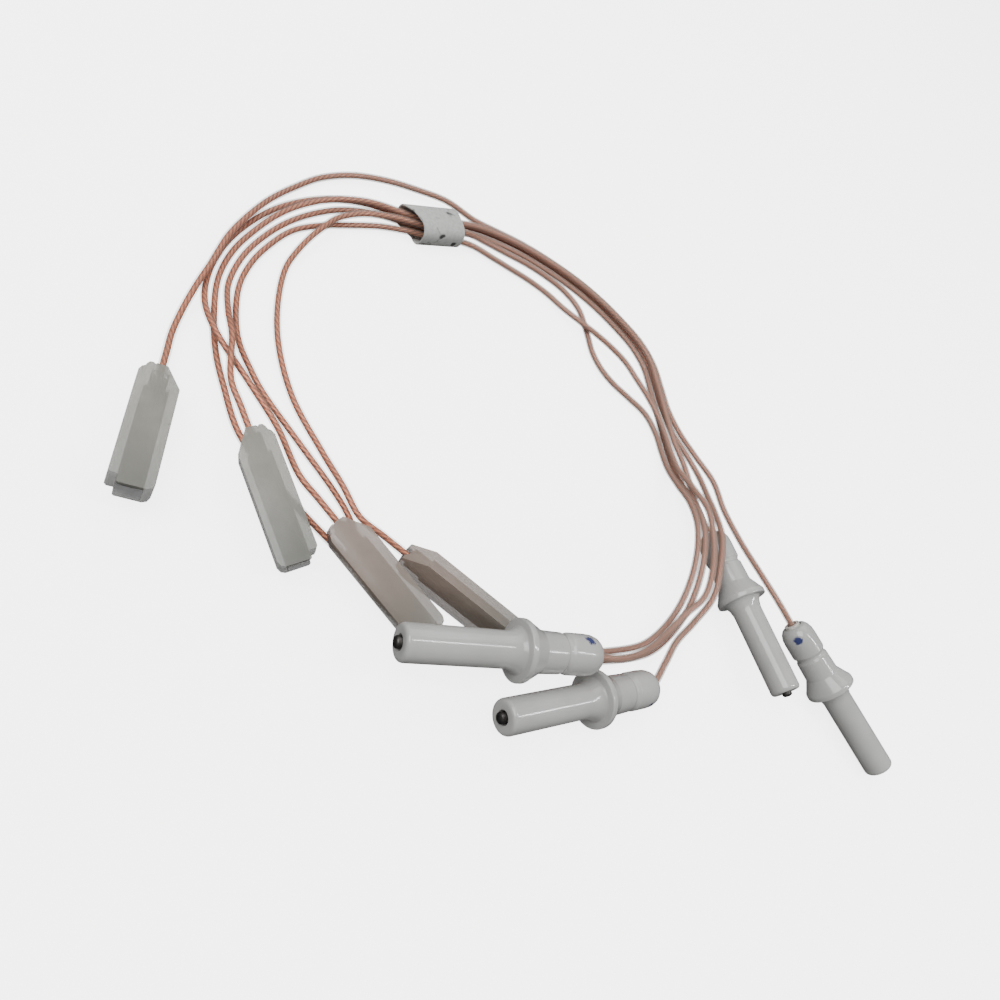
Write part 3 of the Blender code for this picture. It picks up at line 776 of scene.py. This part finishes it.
pin_steel = worn_metal(
    "pin_steel", (0.12, 0.115, 0.11, 1), (0.05, 0.045, 0.045, 1), 900.0, 0.35, 0.55
)
tinned = worn_metal(
    "tinned_steel", (0.30, 0.29, 0.27, 1), (0.12, 0.115, 0.11, 1), 500.0, 0.3, 0.5
)
bare_copper = worn_metal(
    "bare_copper", (0.80, 0.38, 0.24, 1), (0.62, 0.26, 0.15, 1), 1500.0, 0.25, 0.4
)
paint(pins, pin_steel)
paint(receptacles, tinned)
paint([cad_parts[f"crimp_ferrule_{tag}"] for tag in TAGS], tinned)
paint([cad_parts[f"conductor_end_{tag}"] for tag in TAGS], bare_copper)
print("metals on", 4 * len(TAGS), "pieces")

# %% [markdown]
# Sealing cement closes each tail round its lead. It is dull and gritty, so its mottle is fine and
# mostly drives a bump, and its roughness stays one high value.

# %% Sealing cement
cement, tree, shader = principled("cement", (0.75, 0.73, 0.68), 0.85)
grit = use_group(
    tree, mottle, own_place(tree), Scale=1800.0, Light=(0.78, 0.76, 0.71, 1),
    Dark=(0.62, 0.60, 0.55, 1), Low=0.0, High=1.0,
)
feed(tree, grit.outputs["Color"], shader.inputs["Base Color"])
add_bump(tree, shader, grit.outputs["Value"], 0.5, 0.0002)
paint([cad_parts[f"tail_seal_{tag}"] for tag in TAGS], cement)
print("cement in", len(TAGS), "tails")

# %% [markdown]
# The strands wind round each other, so light catches them as slanting lines. Modelling each strand
# would take a great many faces for a core 1.2 mm across. A sine over the tube's own UV map paints
# them instead: it runs the copper's colour from painted shade to a painted highlight and bumps it a
# little, a few waves round, and one full turn every 7 mm or so.

# %% Twisted strands
STRAND_COUNT = 4.0
TWISTS_PER_METRE = 150.0
strands, tree, shader = principled("copper_strands", (0.66, 0.36, 0.26), 0.38, 0.55)
round_it, along_it = map_parts(tree, "along")
turns = worked_out(tree, "MULTIPLY", round_it, STRAND_COUNT)
turns = worked_out(tree, "MULTIPLY_ADD", along_it, TWISTS_PER_METRE * STRAND_COUNT, turns)
wave = worked_out(tree, "SINE", worked_out(tree, "MULTIPLY", turns, 2 * math.pi))
twist_and_highlight = remap(tree, wave, -1.0, 1.0)
# Painted highlight and shade: dark copper between the strands, bright orange where light would catch
# them.
lit = mix_colours(tree, twist_and_highlight, (0.42, 0.10, 0.045, 1.0), (1.0, 0.34, 0.17, 1.0))
feed(tree, lit, shader.inputs["Base Color"])
add_bump(tree, shader, twist_and_highlight, 0.6, 0.00008)
paint(cores, strands)
print("strands on", len(cores), "leads")

# %% [markdown]
# The jacket is soft clear plastic. Real refraction through so thin a tube is slow and noisy, so
# alpha lets the strands show through instead. A little mottle along the lead stands for the haze
# where it was handled, and the jacket is clearest near the terminals.

# %% Clear jacket
CLEAR_MIDDLE = (-22.0, -30.0, 3.0)
jacket_finish, tree, shader = principled("clear_jacket", (0.44, 0.34, 0.28), 0.3)
away = distance_from(tree, own_place(tree), tuple(placed(CLEAR_MIDDLE)))
feed(tree, remap(tree, away, 0.035, 0.075, 0.26, 0.52), shader.inputs["Alpha"])
along = add_node(tree, "ShaderNodeUVMap", uv_map="along")
haze = use_group(
    tree, mottle, along.outputs["UV"], Scale=60.0, Light=(0.47, 0.37, 0.31, 1),
    Dark=(0.37, 0.25, 0.20, 1), Low=0.25, High=0.42,
)
feed(tree, haze.outputs["Color"], shader.inputs["Base Color"])
feed(tree, haze.outputs["Value"], shader.inputs["Roughness"])
paint(jackets, jacket_finish)
print("jackets finished:", len(jackets))

# %% [markdown]
# The sleeves are milky moulded plastic, greyer towards the mouth, where the receptacle lies close
# to the wall, with painted shade inside the pocket. Scattering under the surface would be the true
# cause of the grey, but it doesn't survive an export. Partial alpha and two tones along the
# sleeve's own map do.

# %% Milky sleeves
# Painted shade: a near-black tone on the pocket's walls, where the hollow mouth lies in shade.
POCKET_PAINTED_SHADE = (0.05, 0.052, 0.048, 1.0)
FLOW_SHADE = 0.86


def milky(name, rear_tone, mouth_tone):
    """Cloudy moulded plastic that turns from one tone to another along the sleeve, with painted shade
    on the pocket's walls.
    """
    material, tree, shader = principled(name, rear_tone[:3], 0.35)
    shader.inputs["Alpha"].default_value = 0.8
    dimmer = [FLOW_SHADE * channel for channel in rear_tone[:3]]
    flow = use_group(
        tree, mottle, own_place(tree), Scale=160.0, Light=rear_tone, Dark=(*dimmer, 1), Low=0.28,
        High=0.45,
    )
    station, pocket_shade_mask = map_parts(tree, "station")
    outer = mix_colours(tree, remap(tree, station, 0.35, 0.95), flow.outputs["Color"], mouth_tone)
    # The pocket's walls take the near-black painted shade in place of the shade in the hollow.
    feed(tree, mix_colours(tree, pocket_shade_mask, outer, POCKET_PAINTED_SHADE), shader.inputs["Base Color"])
    feed(tree, flow.outputs["Value"], shader.inputs["Roughness"])
    add_bump(tree, shader, flow.outputs["Value"], 0.15, 0.0003)
    return material


milky_plastic = milky("milky_plastic", (0.34, 0.33, 0.285, 1), (0.22, 0.22, 0.195, 1))
warm_plastic = milky("milky_plastic_warm", (0.34, 0.27, 0.225, 1), (0.21, 0.195, 0.165, 1))
paint(sleeves[:2], warm_plastic)
paint(sleeves[2:], milky_plastic)
print("sleeves finished:", len(sleeves))

# %% [markdown]
# The label is thin matt paper, a little grubby, with a few dark blots that say nothing. Lettering
# isn't wanted on it, so a second, coarser noise is cut off high up, which leaves only a few spots.

# %% Label paper
BLOT_SHADE = (0.05, 0.05, 0.05, 1.0)
paper, tree, shader = principled("label_paper", (0.62, 0.62, 0.60), 0.8)
place = own_place(tree)
fibre = use_group(
    tree, mottle, place, Scale=1200.0, Light=(0.56, 0.57, 0.55, 1), Dark=(0.47, 0.48, 0.46, 1),
    Low=0.7, High=0.9,
)
blots = add_node(tree, "ShaderNodeTexNoise")
blots.inputs["Scale"].default_value = 260.0
blots.inputs["Detail"].default_value = 2.0
feed(tree, place, blots.inputs["Vector"])
spots = remap(tree, blots.outputs["Fac"], 0.60, 0.68)
grubby = mix_colours(tree, spots, fibre.outputs["Color"], BLOT_SHADE)
feed(tree, grubby, shader.inputs["Base Color"])
feed(tree, fibre.outputs["Value"], shader.inputs["Roughness"])
add_bump(tree, shader, fibre.outputs["Value"], 0.3, 0.0001)
paint([label], paper)
print("label finished:", label.name)

# %% [markdown]
# ## Stage
# A small white part is easiest to read on a bright floor with almost no shadow. The floor glows so
# that it stays white, but it is hidden from bounced light, or the undersides of the ceramics would
# turn bright as well.

# %% Floor
FLOOR_Z = -LAYOUT_ORIGIN[2] * MM
FLOOR_SIZE = 6.0
bpy.ops.object.select_all(action="DESELECT")
bpy.ops.mesh.primitive_plane_add(size=FLOOR_SIZE, location=(0.0, 0.0, FLOOR_Z))
floor = bpy.context.object
floor.name = "floor"
floor_finish, tree, shader = principled("floor_white", (0.93, 0.93, 0.93), 0.9)
shader.inputs["Specular IOR Level"].default_value = 0.1
shader.inputs["Emission Color"].default_value = (1.0, 1.0, 1.0, 1.0)
shader.inputs["Emission Strength"].default_value = 4.0
paint([floor], floor_finish)
floor.visible_diffuse = False
floor.visible_glossy = False
print("floor at", round(FLOOR_Z, 5))

# %% [markdown]
# The sky is an even white that dims below the floor, which turns the undersides grey and gives
# each round piece its form. Two soft lamps add a direction, and a third, narrow one gives the
# glaze its sharp line.

# %% Light
SET_MIDDLE = (-0.06, 0.0, 0.0)
studio = bpy.data.worlds.new("studio")
studio.use_nodes = True
sky = studio.node_tree
background = sky.nodes["Background"]
background.inputs["Color"].default_value = (1.0, 1.0, 1.0, 1.0)
toward = add_node(sky, "ShaderNodeSeparateXYZ")
feed(sky, add_node(sky, "ShaderNodeTexCoord").outputs["Generated"], toward.inputs["Vector"])
feed(sky, remap(sky, toward.outputs["Z"], -0.5, 0.1, 0.10, 0.42), background.inputs["Strength"])
bpy.context.scene.world = studio


def soft_lamp(name, place, width, length, power):
    """A rectangular area lamp that faces the middle of the set."""
    lamp_data = bpy.data.lights.new(name, "AREA")
    lamp_data.shape = "RECTANGLE"
    lamp_data.size = width
    lamp_data.size_y = length
    lamp_data.energy = power
    lamp = bpy.data.objects.new(name, lamp_data)
    bpy.context.scene.collection.objects.link(lamp)
    lamp.location = place
    aim = Vector(SET_MIDDLE) - Vector(place)
    lamp.rotation_euler = aim.to_track_quat("-Z", "Y").to_euler()


soft_lamp("key", (-0.35, -0.3, 0.6), 0.5, 0.5, 4.0)
soft_lamp("fill", (-0.4, 0.4, 0.6), 0.6, 0.6, 1.5)
soft_lamp("strip", (0.176, 0.141, 0.443), 0.015, 0.35, 0.9)
print("stage set with", len(bpy.data.lights), "lamps")

# %% [markdown]
